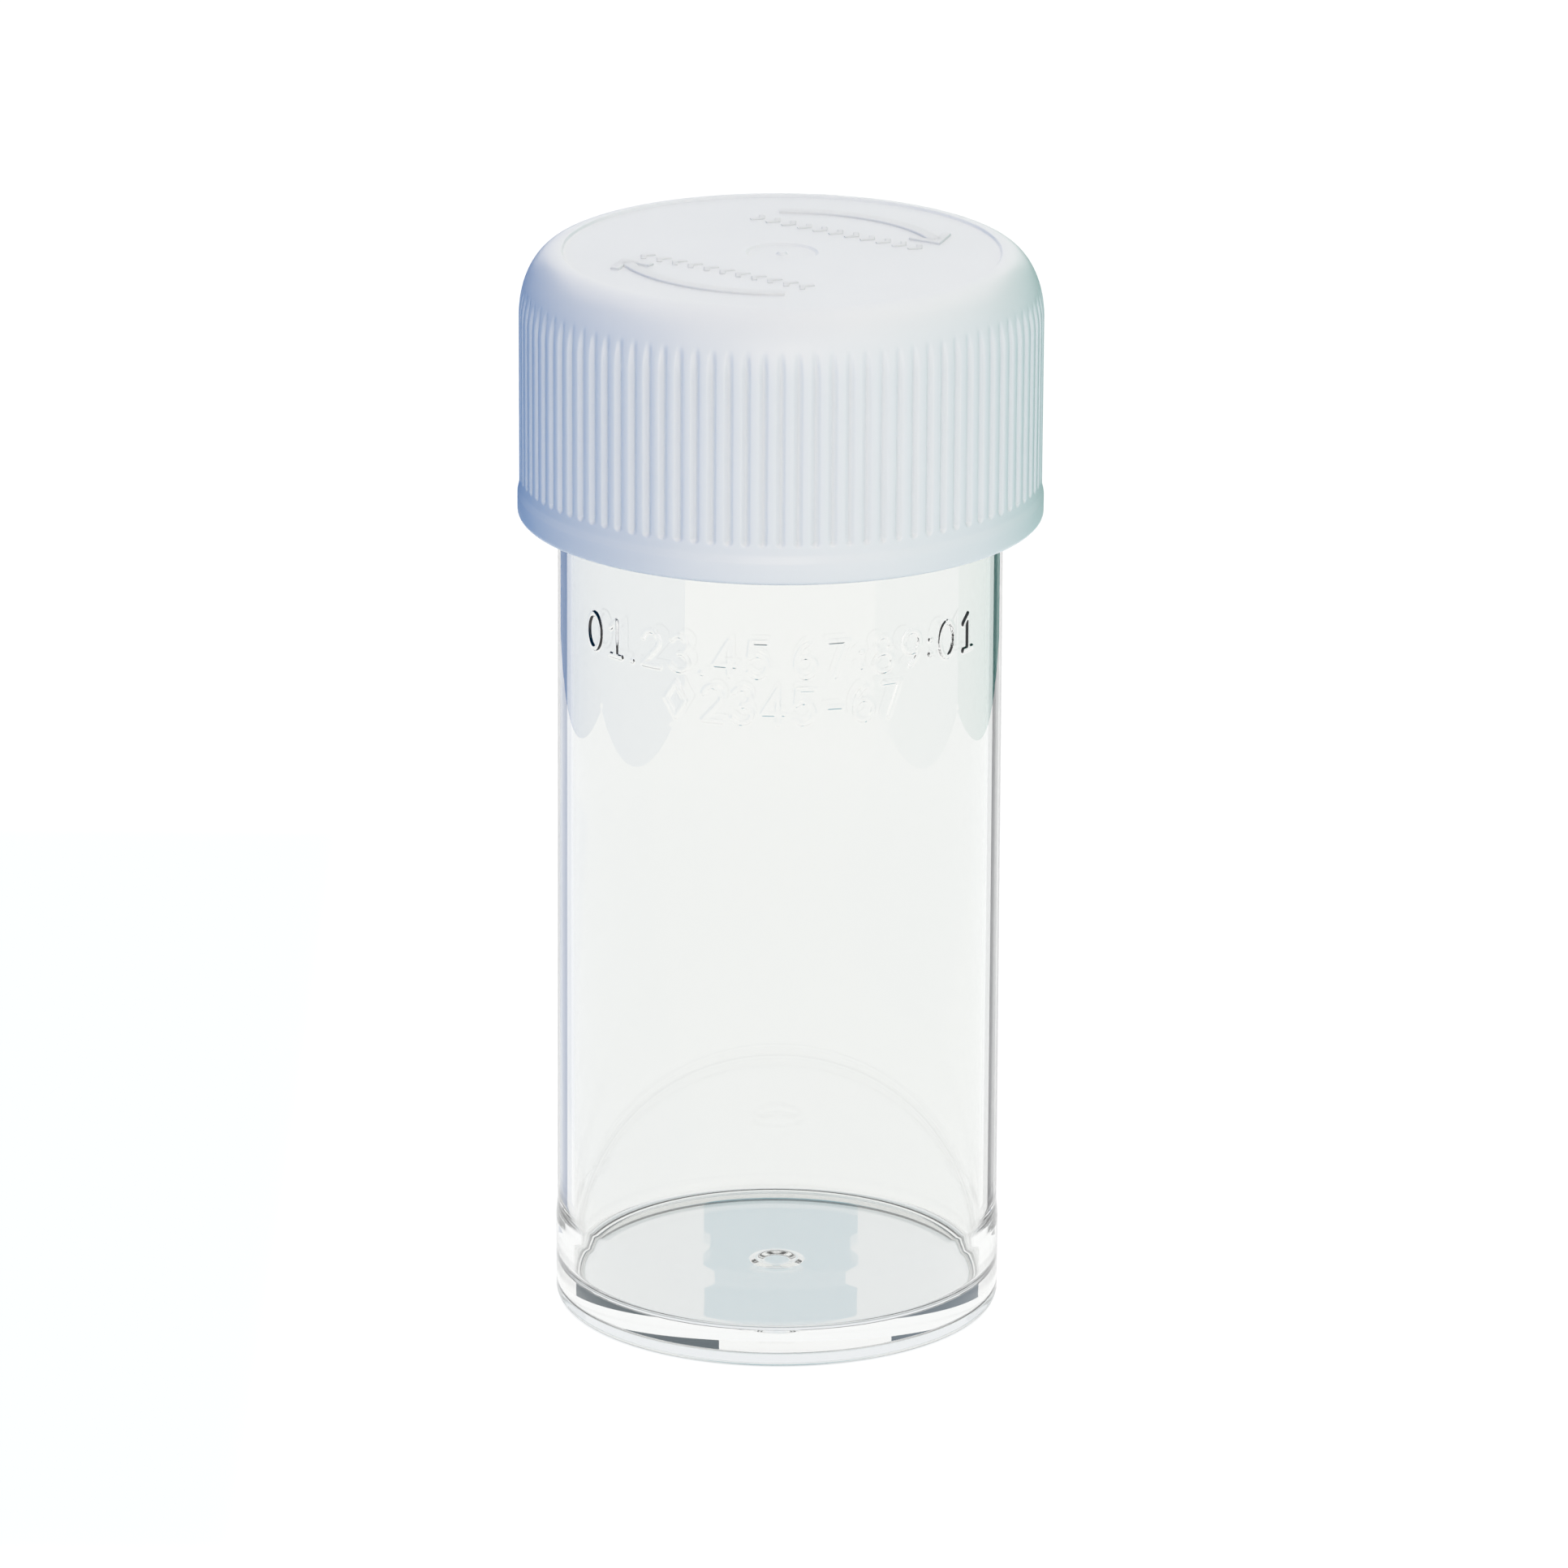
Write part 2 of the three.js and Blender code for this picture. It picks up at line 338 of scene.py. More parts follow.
def glyph(character):
    """The strokes of one character in a box 1 wide and 1 high."""
    line = np.array
    if character == "0":
        return [bow(0.5, 0.5, 0.46, 0.5, 0, 360, 24)]
    if character == "1":
        return [line([(0.2, 0.78), (0.55, 1.0), (0.55, 0.0)]), line([(0.2, 0.0), (0.9, 0.0)])]
    if character == "2":
        return [np.concatenate([bow(0.5, 0.72, 0.42, 0.28, 170, -35), line([(0.06, 0.0), (0.96, 0.0)])])]
    if character == "3":
        return [bow(0.46, 0.75, 0.4, 0.25, 150, -85), bow(0.46, 0.26, 0.46, 0.26, 85, -150)]
    if character == "4":
        return [line([(0.98, 0.3), (0.04, 0.3), (0.7, 1.0), (0.7, 0.0)])]
    if character == "5":
        return [line([(0.9, 1.0), (0.2, 1.0), (0.13, 0.56)]), bow(0.48, 0.32, 0.44, 0.32, 135, -145)]
    if character == "6":
        return [bow(0.5, 0.3, 0.44, 0.3, 0, 360, 20), bow(0.86, 0.36, 0.8, 0.64, 110, 180, 10)]
    if character == "7":
        return [line([(0.06, 1.0), (0.94, 1.0), (0.36, 0.0)])]
    if character == "8":
        return [bow(0.5, 0.76, 0.36, 0.24, 0, 360, 18), bow(0.5, 0.27, 0.44, 0.27, 0, 360, 20)]
    if character == "9":
        return [bow(0.5, 0.7, 0.44, 0.3, 0, 360, 20), bow(0.14, 0.64, 0.8, 0.64, -70, 0, 10)]
    if character == ".":
        return [line([(0.46, 0.0), (0.54, 0.0)])]
    if character == ":":
        return [line([(0.46, 0.2), (0.54, 0.2)]), line([(0.46, 0.62), (0.54, 0.62)])]
    if character == "-":
        return [line([(0.2, 0.45), (0.8, 0.45)])]
    if character == "o":
        return [line([(0.5, 0.0), (1.0, 0.5), (0.5, 1.0), (0.0, 0.5), (0.5, 0.0)])]
    return []


def text_strokes(text, left, bottom, wide, narrow):
    """Stroke segments of a line of text, as (arc length, height) pairs of points."""
    segments = []
    x = left
    for character in text:
        thin = character in ".: "
        width = narrow if thin else wide
        drawn = DIGIT_WIDTH if not thin else narrow
        for stroke in glyph(character):
            points = stroke * [drawn, DIGIT_HEIGHT] + [x + (width - drawn) / 2, bottom]
            segments += list(zip(points, points[1:]))
        x += width
    return segments


def stroke_distance(x, y, segments):
    """Distance from points (x, y) to the nearest segment."""
    nearest = np.full(np.shape(x), 9.0)
    for a, b in segments:
        ab = b - a
        t = ((x - a[0]) * ab[0] + (y - a[1]) * ab[1]) / max(ab @ ab, 1e-9)
        t = np.clip(t, 0, 1)
        nearest = np.minimum(nearest, np.hypot(x - a[0] - t * ab[0], y - a[1] - t * ab[1]))
    return nearest


DIGITS = text_strokes("01.23.45 67:89:01", -17.9, FIRST_ROW, 2.55, 1.1)
DIGITS += text_strokes("o 2345-67", -9.4, SECOND_ROW, 2.35, 0.7)


def digit_relief(columns, z):
    """Height of the moulded digits, which face the side of -Y."""
    across = ((columns + TAU / 4 + math.pi) % TAU - math.pi) * wall_radius(z)
    distance = stroke_distance(across, np.full(across.shape, z), DIGITS)
    return DIGIT_RAISE * ease((DIGIT_HALF_STROKE - distance) / (DIGIT_HALF_STROKE * 0.62))


# ---------- the tube ----------


def wall_radius(z):
    share = (z - BASE_BAND_TOP) / (RIM - BASE_BAND_TOP)
    return WALL_FOOT_R + (NECK_R - WALL_FOOT_R) * share


def tube_columns():
    """Even columns, and the same with the cells that carry the digits split finely."""
    coarse = even(TUBE_COLUMNS)
    reach = math.radians(66)
    cell = TAU / TUBE_COLUMNS
    fine = []
    for a in coarse:
        near = abs((a + cell / 2 + TAU / 4 + math.pi) % TAU - math.pi) < reach
        parts = DIGIT_SPLIT if near else 1
        fine += [a + cell * k / parts for k in range(parts)]
    return coarse, np.array(fine)


def tube_mesh():
    coarse, fine = tube_columns()
    wall = Turned()
    wall.pole(FOOT + FOOT_DEPTH)
    base = rounded([
        (0, FOOT_DEPTH, 0),
        (FOOT_INNER_R, FOOT_DEPTH, 0.25),
        (FOOT_INNER_R + 0.3, FOOT, 0.2),
        (BASE_R, FOOT, 0.55),
        (BASE_R, BASE_BAND_TOP - 0.7, 4),
        (WALL_FOOT_R, BASE_BAND_TOP + 0.7, 4),
        (wall_radius(SECOND_ROW), SECOND_ROW - 0.9, 0),
    ])
    wall.rows(coarse, braced(base)[1:])
    digit_rows = np.arange(SECOND_ROW - 0.5, FIRST_ROW + DIGIT_HEIGHT + 0.5, 0.09)
    wall.rows(fine, [(wall_radius(z), z) for z in digit_rows], digit_relief)
    ridge_low, ridge_high = THREAD_START - 1.3, THREAD_START + PITCH + 1.3
    ridge_rows = np.arange(ridge_low, ridge_high, 0.13)
    wall.rows(coarse, [(wall_radius(FIRST_ROW + 4), FIRST_ROW + 4)])
    wall.rows(coarse, [(wall_radius(z), z) for z in ridge_rows], thread_relief(THREAD_START))
    inside = rounded([
        (wall_radius(ridge_high + 0.2), ridge_high + 0.2, 0),
        (NECK_R, RIM - 0.4, 0.3),
        (NECK_R - 0.3, RIM, 0.2),
        (BORE_TOP_R, RIM, 0.25),
        (BORE_FOOT_R, FLOOR_TOP, 1.0),
        (PIP_R + PIP_HALF_WIDTH, FLOOR_TOP, 0.5),
        (PIP_R, FLOOR_TOP + PIP_HEIGHT, 0.5),
        (PIP_R - PIP_HALF_WIDTH, FLOOR_TOP - PIP_HEIGHT / 2, 0.5),
        (0, FLOOR_TOP - PIP_HEIGHT / 2, 0),
    ], math.radians(6))
    wall.rows(coarse, braced(inside)[:-1])
    wall.pole(FLOOR_TOP - PIP_HEIGHT / 2)
    return wall.mesh("clear_tube")


# ---------- the cap ----------


def cap_columns():
    """Columns that follow the section of a groove, and the two a rib that the plain parts need."""
    half = [0.0, 0.05, 0.1, 0.15, 0.2, 0.25, 0.31]
    shares = half + [0.5] + [1 - s for s in reversed(half[1:])]
    pitch = TAU / RIB_COUNT
    fine = np.array([(i + s) * pitch for i in range(RIB_COUNT) for s in shares])
    return even(2 * RIB_COUNT), fine


def cap_mesh():
    coarse, fine = cap_columns()
    shell = Turned()
    shell.pole(CEILING)
    relief = thread_relief(THREAD_START - FLANK_GAP)
    ridge_low, ridge_high = THREAD_START - FLANK_GAP - 1.2, THREAD_START - FLANK_GAP + PITCH + 1.2
    upper = rounded([
        (0, CEILING, 0),
        (POCKET_R, CEILING, 0.3),
        (POCKET_R, LINER_LOW - 0.3, 0.1),
        (BEAD_R, LINER_LOW - 0.6, 0.2),
        (BEAD_R, LINER_LOW - 1.0, 0.2),
        (POCKET_R, LINER_LOW - 1.7, 0.3),
        (SKIRT_BORE_R, LINER_LOW - 2.0, 0.3),
        (SKIRT_BORE_R, ridge_high + 0.1, 0),
    ])
    shell.rows(coarse, braced(upper)[1:])
    ridge_rows = np.arange(ridge_high, ridge_low, -0.15)
    shell.rows(coarse, [(SKIRT_BORE_R, z) for z in ridge_rows], lambda c, z: -relief(c, z))
    mouth = rounded([
        (SKIRT_BORE_R, ridge_low - 0.1, 0),
        (SKIRT_BORE_R, CAP_BOTTOM + 0.6, 0.3),
        (SKIRT_BORE_R + 0.4, CAP_BOTTOM, 0.15),
        (FLANGE_R - 0.9, CAP_BOTTOM, 0),
    ])
    shell.rows(coarse, braced(mouth))
    flange = rounded([
        (FLANGE_R - 0.8, CAP_BOTTOM, 0),
        (FLANGE_R, CAP_BOTTOM, 0.35),
        (FLANGE_R, CAP_BOTTOM + 1.7, 0.8),
        (CAP_R, CAP_BOTTOM + 2.3, 0.8),
        (CAP_R, GROOVE_BOTTOM - 0.1, 0),
    ])
    shell.rows(fine, flange)
    low_ends = GROOVE_BOTTOM + np.linspace(0, GROOVE_HALF_WIDTH * 1.2, 10)
    span = TOP - DOME_BOTTOM
    dome = [DOME_BOTTOM + span * math.sin(a) for a in np.linspace(0, math.pi / 2, 26)]
    heights = np.concatenate([low_ends, dome])
    shell.rows(fine, [(cap_radius(z), z) for z in heights], groove_relief)
    top = rounded([
        (TOP_RING_R - 0.05, TOP, 0),
        (PANEL_R + 0.12, TOP, 0.1),
        (PANEL_R, TOP - PANEL_DEPTH, 0.1),
        (GATE_R, TOP - PANEL_DEPTH, 0.08),
        (GATE_R - 0.2, TOP - PANEL_DEPTH - GATE_DEPTH, 0.08),
        (0.45, TOP - PANEL_DEPTH - GATE_DEPTH, 0.1),
        (0.3, TOP - PANEL_DEPTH + 0.05, 0.1),
        (0, TOP - PANEL_DEPTH + 0.05, 0),
    ])
    shell.rows(coarse, braced(top)[:-1])
    shell.pole(TOP - PANEL_DEPTH + 0.05)
    return shell.mesh("ribbed_cap")


# ---------- raised marks ----------


def bead_section(half_width, lift):
    """Section of a raised line as (across, height): a flat-topped bead with rounded shoulders."""
    shoulder = min(0.09, half_width * 0.6)
    turns = np.linspace(0, math.pi / 2, 5)
    right = [
        (half_width - shoulder * (1 - math.cos(a)), lift - min(shoulder, lift) * (1 - math.sin(a)))
        for a in turns
    ]
    right = [(half_width + 0.04, -MARK_SINK)] + right
    return right + [(-x, z) for x, z in reversed(right)]


def raised_line(path, half_width, lift, points, faces):
    """Adds a closed bead along a path of (x, y) points on the cap's panel."""
    section = bead_section(half_width, lift)
    path = np.asarray(path, float)
    level = TOP - PANEL_DEPTH
    first = len(points)
    for i, here in enumerate(path):
        before = here - path[i - 1] if i > 0 else path[1] - path[0]
        after = path[i + 1] - here if i < len(path) - 1 else before
        before, after = before / np.linalg.norm(before), after / np.linalg.norm(after)
        side = np.array([[before[1], -before[0]], [after[1], -after[0]]]).sum(0)
        side /= np.linalg.norm(side)
        side /= max(side @ np.array([before[1], -before[0]]), 0.5)
        points += [(*(here + side * across), level + z) for across, z in section]
    n = len(section)
    for i in range(len(path) - 1):
        a, b = first + i * n, first + (i + 1) * n
        faces += [(a + k, a + (k + 1) % n, b + (k + 1) % n, b + k) for k in range(n)]
    last = first + (len(path) - 1) * n
    faces.append(tuple(first + k for k in reversed(range(n))))
    faces.append(tuple(last + k for k in range(n)))


def on_panel(radius, angle):
    return np.array([radius * math.cos(angle), radius * math.sin(angle)])


def marks_mesh():
    """Two closing arrows, half a turn apart, each with a row of plain chevrons beside it."""
    points, faces = [], []
    for start in (ARROW_START, ARROW_START + math.pi):
        end = start + ARROW_SWEEP
        arc = [on_panel(ARROW_R, a) for a in np.linspace(start, end, 40)]
        raised_line(arc, ARROW_HALF_WIDTH, ARROW_RAISE, points, faces)
        tip = on_panel(ARROW_R, end - 0.05)
        barbs = [on_panel(ARROW_R + side, end + 0.11) for side in (1.5, -1.5)]
        raised_line([barbs[0], tip, barbs[1]], ARROW_HALF_WIDTH * 0.7, ARROW_RAISE, points, faces)
        middle = start + ARROW_SWEEP / 2
        out = np.array([math.cos(middle), math.sin(middle)])
        along = np.array([out[1], -out[0]])
        for i in range(CHEVRON_COUNT):
            centre = out * CHEVRON_DISTANCE + along * CHEVRON_STEP * (i - (CHEVRON_COUNT - 1) / 2)
            path = [
                centre + out * CHEVRON_HEIGHT / 2 - along * CHEVRON_DEPTH / 2,
                centre + along * CHEVRON_DEPTH / 2,
                centre - out * CHEVRON_HEIGHT / 2 - along * CHEVRON_DEPTH / 2,
            ]
            raised_line(path, CHEVRON_HALF_WIDTH, CHEVRON_RAISE, points, faces)
    return make_mesh("cap_marks", points, faces)


# ---------- the liner ----------


def liner_mesh():
    disc = Turned()
    disc.pole(LINER_LOW)
    outline = rounded([
        (0, LINER_LOW, 0),
        (BORE_TOP_R - 0.1, LINER_LOW, 0.1),
        (BORE_TOP_R + 0.15, LINER_LOW + 0.12, 0.1),
        (NECK_R - 0.35, LINER_LOW + 0.12, 0.1),
        (NECK_R - 0.1, LINER_LOW, 0.1),
        (LINER_R, LINER_LOW, 0.18),
        (LINER_R, LINER_HIGH, 0.18),
        (0, LINER_HIGH, 0),
    ])
    disc.rows(even(192), braced(outline)[1:-1])
    disc.pole(LINER_HIGH)
    return disc.mesh("foam_liner")


# ---------- materials ----------


def new_material(name):
    material = bpy.data.materials.new(name)
    material.use_nodes = True
    nodes = material.node_tree.nodes
    return material, nodes, material.node_tree.links, nodes["Principled BSDF"]


def noise(nodes, links, scale, detail, stretch=None):
    """A noise node on the object's own coordinates, stretched along an axis if asked."""
    place = nodes.new("ShaderNodeTexCoord")
    node = nodes.new("ShaderNodeTexNoise")
    node.inputs["Scale"].default_value = scale
    node.inputs["Detail"].default_value = detail
    source = place.outputs["Object"]
    if stretch:
        mapping = nodes.new("ShaderNodeMapping")
        mapping.inputs["Scale"].default_value = stretch
        links.new(source, mapping.inputs["Vector"])
        source = mapping.outputs["Vector"]
    links.new(source, node.inputs["Vector"])
    return node.outputs["Fac"]


def remap(nodes, links, value, low, high, start=0.3, end=0.7):
    """value, from start to end, mapped to low to high."""
    node = nodes.new("ShaderNodeMapRange")
    node.inputs["From Min"].default_value = start
    node.inputs["From Max"].default_value = end
    node.inputs["To Min"].default_value = low
    node.inputs["To Max"].default_value = high
    links.new(value, node.inputs["Value"])
    return node.outputs["Result"]


def tint(nodes, links, value, first, second):
    """A colour between two, by value."""
    ramp = nodes.new("ShaderNodeValToRGB")
    ramp.color_ramp.elements[0].position = 0.3
    ramp.color_ramp.elements[0].color = (*first, 1)
    ramp.color_ramp.elements[1].position = 0.7
    ramp.color_ramp.elements[1].color = (*second, 1)
    links.new(value, ramp.inputs["Fac"])
    return ramp.outputs["Color"]


def bump(nodes, links, height, depth, shader):
    """Relief of that depth in metres on the shader's normal."""
    node = nodes.new("ShaderNodeBump")
    node.inputs["Distance"].default_value = depth
    links.new(height, node.inputs["Height"])
    links.new(node.outputs["Normal"], shader.inputs["Normal"])


def clear_polystyrene():
    material, nodes, links, shader = new_material("clear_polystyrene")
    shader.inputs["Base Color"].default_value = (0.915, 0.92, 0.908, 1)
    shader.inputs["Transmission Weight"].default_value = 1.0
    shader.inputs["IOR"].default_value = 1.59
    haze = noise(nodes, links, 260, 4, stretch=(1, 1, 0.25))
    links.new(remap(nodes, links, haze, 0.0, 0.03, 0.45, 0.75), shader.inputs["Roughness"])
    flow = noise(nodes, links, 70, 1, stretch=(1, 1, 0.2))
    bump(nodes, links, flow, 0.000007, shader)
    return material


def white_polyethylene():
    material, nodes, links, shader = new_material("white_polyethylene")
    cloud = noise(nodes, links, 60, 2)
    colour = tint(nodes, links, cloud, (0.86, 0.875, 0.895), (0.885, 0.9, 0.92))
    links.new(colour, shader.inputs["Base Color"])
    shader.inputs["Subsurface Weight"].default_value = 0.35
    shader.inputs["Subsurface Radius"].default_value = (1.0, 1.0, 1.0)
    shader.inputs["Subsurface Scale"].default_value = 0.0012
    shader.inputs["IOR"].default_value = 1.51
    shader.inputs["Coat Weight"].default_value = 0.4
    shader.inputs["Coat Roughness"].default_value = 0.3
    satin = noise(nodes, links, 420, 3)
    links.new(remap(nodes, links, satin, 0.31, 0.37, 0.0, 1.0), shader.inputs["Roughness"])
    grain = noise(nodes, links, 3800, 2)
    bump(nodes, links, grain, 0.000002, shader)
    return material


def liner_foam():
    material, nodes, links, shader = new_material("liner_foam")
    cells = nodes.new("ShaderNodeTexVoronoi")
    cells.inputs["Scale"].default_value = 2600
    place = nodes.new("ShaderNodeTexCoord")
    links.new(place.outputs["Object"], cells.inputs["Vector"])
    cloud = noise(nodes, links, 300, 3)
    colour = tint(nodes, links, cloud, (0.86, 0.86, 0.83), (0.92, 0.92, 0.9))
    links.new(colour, shader.inputs["Base Color"])
    shader.inputs["Roughness"].default_value = 0.8
    bump(nodes, links, cells.outputs["Distance"], 0.00008, shader)
    return material


# ---------- studio ----------


def emitter(name, colour):
    material = bpy.data.materials.new(name)
    material.use_nodes = True
    nodes = material.node_tree.nodes
    nodes.clear()
    glow = nodes.new("ShaderNodeEmission")
    glow.inputs["Color"].default_value = (*colour, 1)
    output = nodes.new("ShaderNodeOutputMaterial")
    material.node_tree.links.new(glow.outputs["Emission"], output.inputs["Surface"])
    return material


def facing(place, target):
    """The placing of something at place that faces target."""
    turn = (Vector(target) - Vector(place)).to_track_quat("-Z", "Y").to_matrix().to_4x4()
    return Matrix.Translation(place) @ turn


def card(name, place, target, width, height, colour):
    """A glowing studio card that the camera doesn't see directly."""
    mesh = bpy.data.meshes.new(name)
    w, h = width / 2, height / 2
    mesh.from_pydata([(-w, -h, 0), (w, -h, 0), (w, h, 0), (-w, h, 0)], [], [(0, 1, 2, 3)])
    obj = new_object(name, mesh)
    obj.matrix_world = facing(place, target)
    mesh.materials.append(emitter(name, colour))
    obj.visible_camera = False
    return obj


def flag(name, place, target, width, height, colour):
    """A card that tints what it lights, and doesn't show through clear plastic."""
    obj = card(name, place, target, width, height, colour)
    obj.visible_transmission = False
    return obj


def painted_shade_card(name, place, target, width, height, colour, operation):
    """A card that shows only through clear plastic and lights nothing: it paints shade, dark lines and
    bands, into what the tube shows.

    LESS_THAN shows it where the view has crossed one wall of the tube, and GREATER_THAN where it
    has crossed more. ONE_WALL is the number of surfaces between the two.
    """
    obj = card(name, place, target, width, height, colour)
    obj.visible_diffuse = False
    obj.visible_glossy = False
    obj.visible_shadow = False
    tree = obj.data.materials[0].node_tree
    nodes, links = tree.nodes, tree.links
    path = nodes.new("ShaderNodeLightPath")
    walls = nodes.new("ShaderNodeMath")
    walls.operation = operation
    walls.inputs[1].default_value = ONE_WALL
    links.new(path.outputs["Transmission Depth"], walls.inputs[0])
    clear = nodes.new("ShaderNodeBsdfTransparent")
    mix = nodes.new("ShaderNodeMixShader")
    links.new(walls.outputs["Value"], mix.inputs["Fac"])
    links.new(clear.outputs["BSDF"], mix.inputs[1])
    links.new(nodes["Emission"].outputs["Emission"], mix.inputs[2])
    links.new(mix.outputs["Shader"], nodes["Material Output"].inputs["Surface"])
    return obj


def softbox(name, place, target, width, height, power, colour):
    light = bpy.data.lights.new(name, "AREA")
    light.shape = "RECTANGLE"
    light.size = width
    light.size_y = height
    light.energy = power
    light.color = colour
    obj = new_object(name, light)
    obj.matrix_world = facing(place, target)
    obj.visible_transmission = False


def seen_sharply(nodes):
    """0 for the rays that light things softly, and 1 for those that show a place as it is."""
    path = nodes.new("ShaderNodeLightPath")
    other = nodes.new("ShaderNodeMath")
    other.operation = "SUBTRACT"
    other.inputs[0].default_value = 1.0
    nodes.id_data.links.new(path.outputs["Is Diffuse Ray"], other.inputs[1])
    return other.outputs["Value"]


def floor_colour_with_painted_shadow(nodes, links):
    """The floor's seen colour by distance from the tube's axis, with painted shade: darker under the
    tube, and a darker painted shadow ring under its foot.
    """
    place = nodes.new("ShaderNodeTexCoord")
    away = nodes.new("ShaderNodeVectorMath")
    away.operation = "LENGTH"
    links.new(place.outputs["Object"], away.inputs[0])
    reach = remap(nodes, links, away.outputs["Value"], 0, 1, 0, FLOOR_PAINTED_SHADOW_REACH)
    seen = nodes.new("ShaderNodeValToRGB")
    stops = seen.color_ramp.elements
    stops[0].color = (*FLOOR_PAINTED_SHADE_UNDER_TUBE, 1)
    stops[1].position = 0.868
    stops[1].color = (*FLOOR_OPEN, 1)
    for position, colour in ((0.79, FLOOR_PAINTED_SHADE_UNDER_TUBE), (0.81, FLOOR_PAINTED_SHADOW_AT_FOOT), (0.845, FLOOR_PAINTED_SHADOW_AT_FOOT)):
        stops.new(position).color = (*colour, 1)
    links.new(reach, seen.inputs["Fac"])
    return seen.outputs["Color"]


def floor():
    """A wide pale floor that glows, as a light table does."""
    mesh = bpy.data.meshes.new("floor")
    rim = [(FLOOR_R * math.cos(a), FLOOR_R * math.sin(a), 0) for a in even(64)]
    mesh.from_pydata(rim, [], [tuple(range(len(rim)))])
    obj = new_object("floor", mesh)
    obj.location.z = -FLOOR_GAP
    material, nodes, links, shader = new_material("floor")
    shader.inputs["Base Color"].default_value = (0.1, 0.1, 0.1, 1)
    shader.inputs["Roughness"].default_value = 0.9
    shader.inputs["Specular IOR Level"].default_value = 0.0
    shader.inputs["Emission Strength"].default_value = 1.0
    glow = nodes.new("ShaderNodeMix")
    glow.data_type = "RGBA"
    glow.inputs["A"].default_value = (*FLOOR_LIGHT, 1)
    links.new(floor_colour_with_painted_shadow(nodes, links), glow.inputs["B"])
    links.new(seen_sharply(nodes), glow.inputs["Factor"])
    links.new(glow.outputs["Result"], shader.inputs["Emission Color"])
    mesh.materials.append(material)


def sky():
    """A pale, even sky, which is pure white where it is seen."""
    world = bpy.data.worlds.new("studio")
    bpy.context.scene.world = world
    world.use_nodes = True
    nodes, links = world.node_tree.nodes, world.node_tree.links
    light = nodes["Background"]
    light.inputs["Color"].default_value = (*SKY_LIGHT, 1)
    light.inputs["Strength"].default_value = SKY_STRENGTH
    seen = nodes.new("ShaderNodeBackground")
    seen.inputs["Color"].default_value = (1, 1, 1, 1)
    mix = nodes.new("ShaderNodeMixShader")
    links.new(seen_sharply(nodes), mix.inputs["Fac"])
    links.new(light.outputs["Background"], mix.inputs[1])
    links.new(seen.outputs["Background"], mix.inputs[2])
    links.new(mix.outputs["Shader"], nodes["World Output"].inputs["Surface"])


def side_cards(name, side, colours, painted_edge_width):
    """The tinted flags on one side, blue at the left and teal at the right, and a card that paints a dark
    line of shade along the tube's edge on that side.
    """
    tall, rear, low, painted_edge_colour = colours
    for part, x, y, z, width, height, colour in (
        ("side", 0.16, -0.03, 0.12, 0.2, 0.24, tall),
        ("rear", 0.131, 0.092, 0.08, 0.18, 0.16, rear),
        ("low", 0.0445, 0.122, 0.0525, 0.1, 0.053, low),
    ):
        flag(f"{name}_{part}_flag", (side * x, y, z), (0, 0, z), width, height, colour)
    x, y = side * 0.1, 0.03
    lying = flag(name + "_floor_flag", (x, y, 0.001), (x, y, 1), 0.12, 0.17, tall)
    lying.visible_glossy = False
    # painted shade: a dark card seen only through one wall of the tube, which draws a dark line along its
    # edge
    z = PAINTED_EDGE_SHADE_HEIGHT / 2
    place, target = (side * 0.022, 0.011, z), (side * 0.0173, 0, z)
    painted_shade_card(name + "_painted_edge_shade", place, target, painted_edge_width, PAINTED_EDGE_SHADE_HEIGHT, painted_edge_colour, "LESS_THAN")


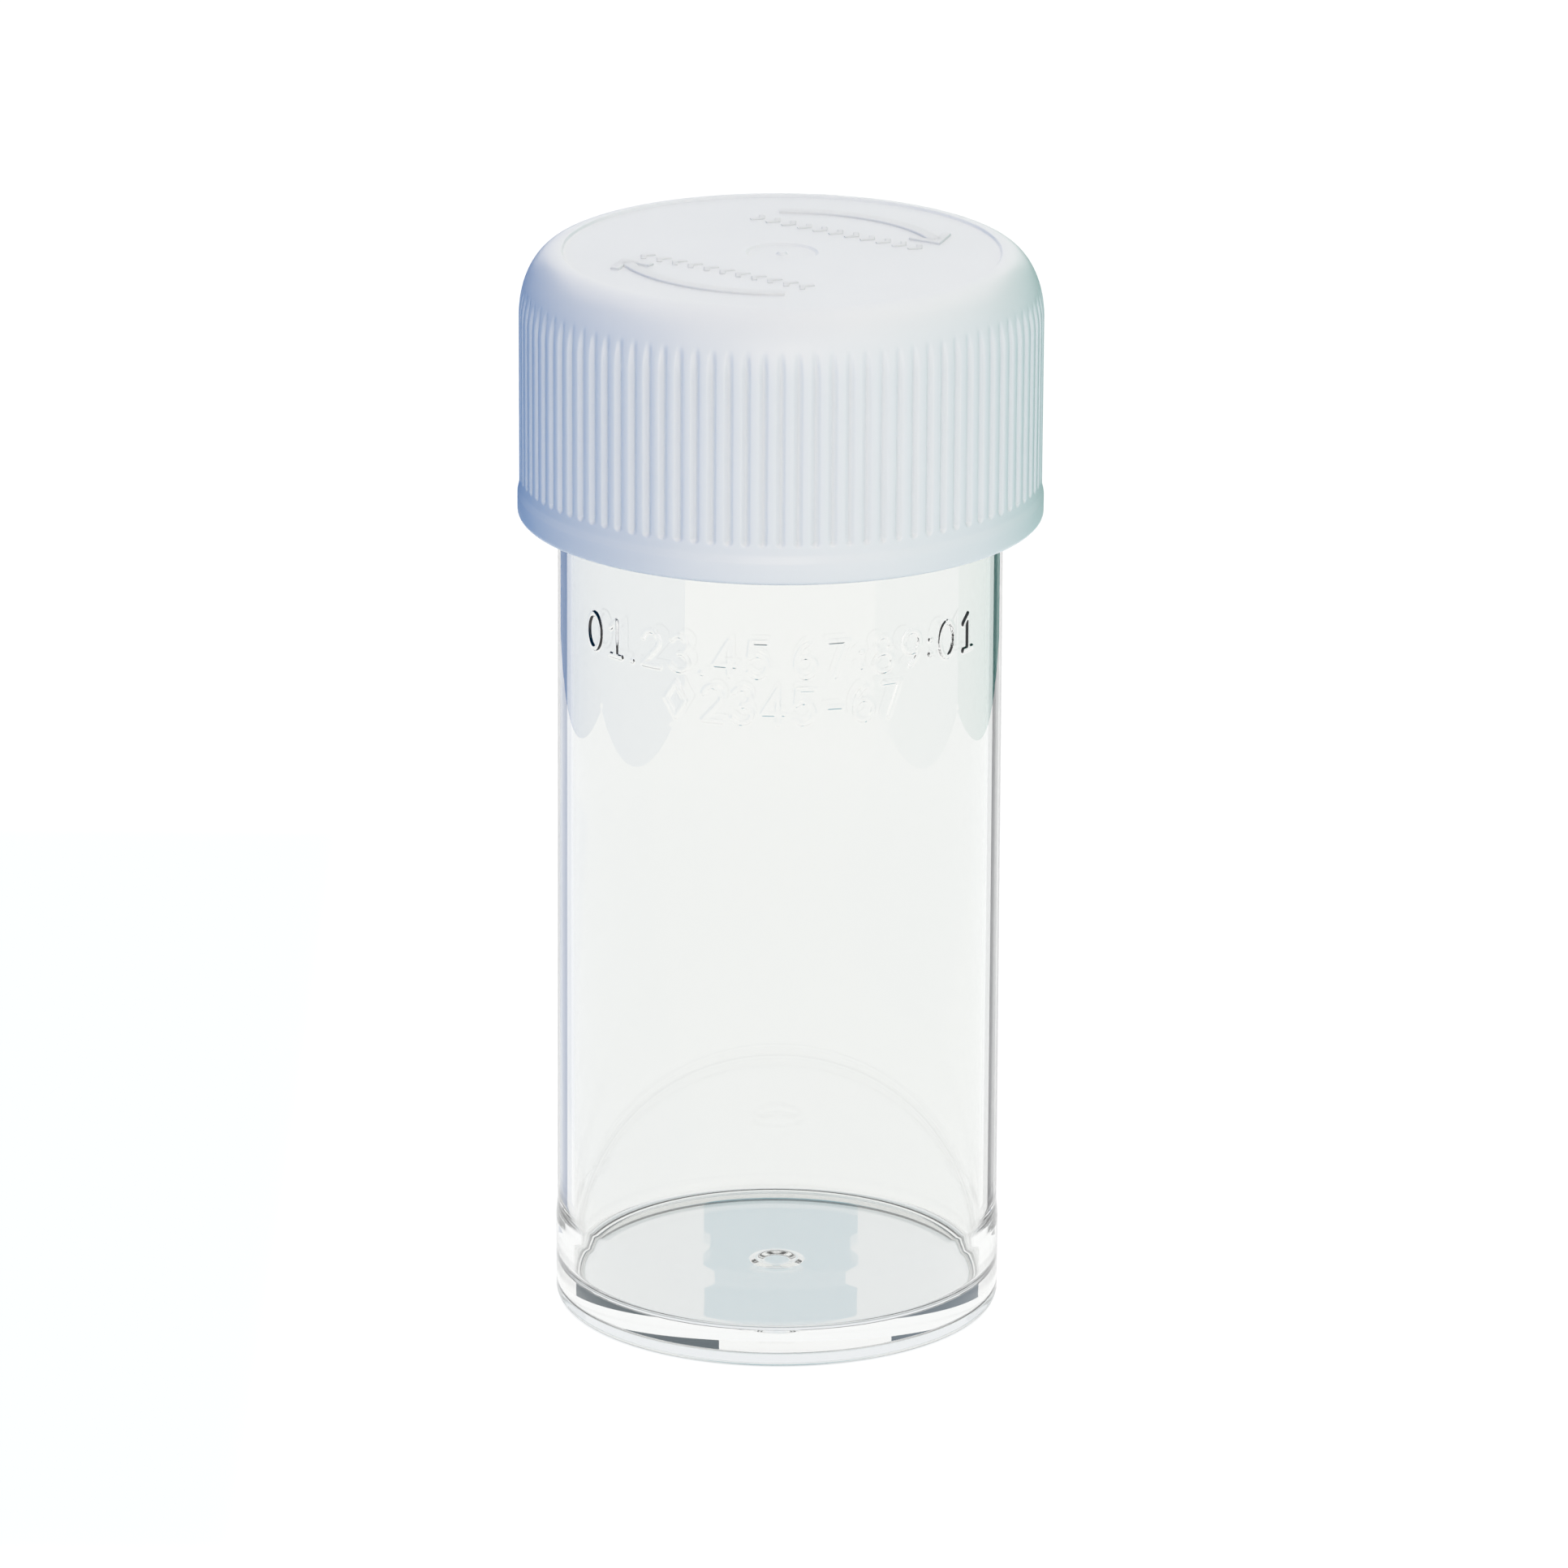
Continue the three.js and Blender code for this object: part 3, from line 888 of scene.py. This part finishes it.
def studio():
    floor()
    sky()
    softbox("front_light", (0.0, -1.0, 0.35), (0, 0, 0.06), 0.5, 0.6, 1.1, (1.0, 0.78, 0.6))
    blues = ((0.0, 0.16, 0.46), (0.0, 0.14, 0.42), (0.0, 0.1, 0.33), (0.32, 0.38, 0.52))
    teals = ((0.6, 0.72, 0.75), (0.05, 0.33, 0.28), (0.0, 0.2, 0.15), (0.02, 0.02, 0.03))
    side_cards("left", -1, blues, 0.005)
    side_cards("right", 1, teals, 0.0042)
    # painted shade: dark cards behind the tube, seen only through it, the middle one through more than
    # one wall and the side ones through one
    y, z = PAINTED_SHADE_CARD_Y, PAINTED_SHADE_CARD_Z
    for name, x, width, colour, operation in (
        ("middle_painted_shade_card", 0.001, 0.0335, (0.25, 0.5, 0.6), "GREATER_THAN"),
        ("left_painted_shade_card", -0.384, 0.5, (0.1, 0.14, 0.18), "LESS_THAN"),
        ("right_painted_shade_card", 0.308, 0.5, (0.06, 0.09, 0.11), "LESS_THAN"),
    ):
        painted_shade_card(name, (x, y, z), (x, 0, z), width, PAINTED_SHADE_CARD_HEIGHT, colour, operation)


# ---------- camera ----------


def camera():
    """The viewpoint: a long lens, 18 degrees above the tube, tipped a third of a degree."""
    data = bpy.data.cameras.new("camera")
    data.sensor_width = 36
    data.lens = LENS
    obj = new_object("camera", data)
    elevation = math.radians(ELEVATION)
    back = Vector((0, -math.cos(elevation), math.sin(elevation)))
    place = Vector((0, 0, 0.044)) + back * DISTANCE
    target = Vector((0.00038, 0, 0.04204))
    obj.matrix_world = facing(place, target) @ Matrix.Rotation(math.radians(ROLL), 4, "Z")
    bpy.context.scene.camera = obj


# ---------- the scene ----------

camera()
studio()
bpy.context.scene.view_settings.view_transform = "Standard"

# light crosses and follows the clear walls many times
cycles = bpy.context.scene.cycles
cycles.max_bounces = 24
cycles.glossy_bounces = 16
cycles.transmission_bounces = 24

white = white_polyethylene()
add_piece("clear_tube", tube_mesh(), clear_polystyrene(), "tube", "tube")
add_piece("ribbed_cap", cap_mesh(), white, "cap", "screw_cap")
add_piece("cap_marks", marks_mesh(), white, "cap", "screw_cap")
add_piece("foam_liner", liner_mesh(), liner_foam(), "liner", "sealing_liner")
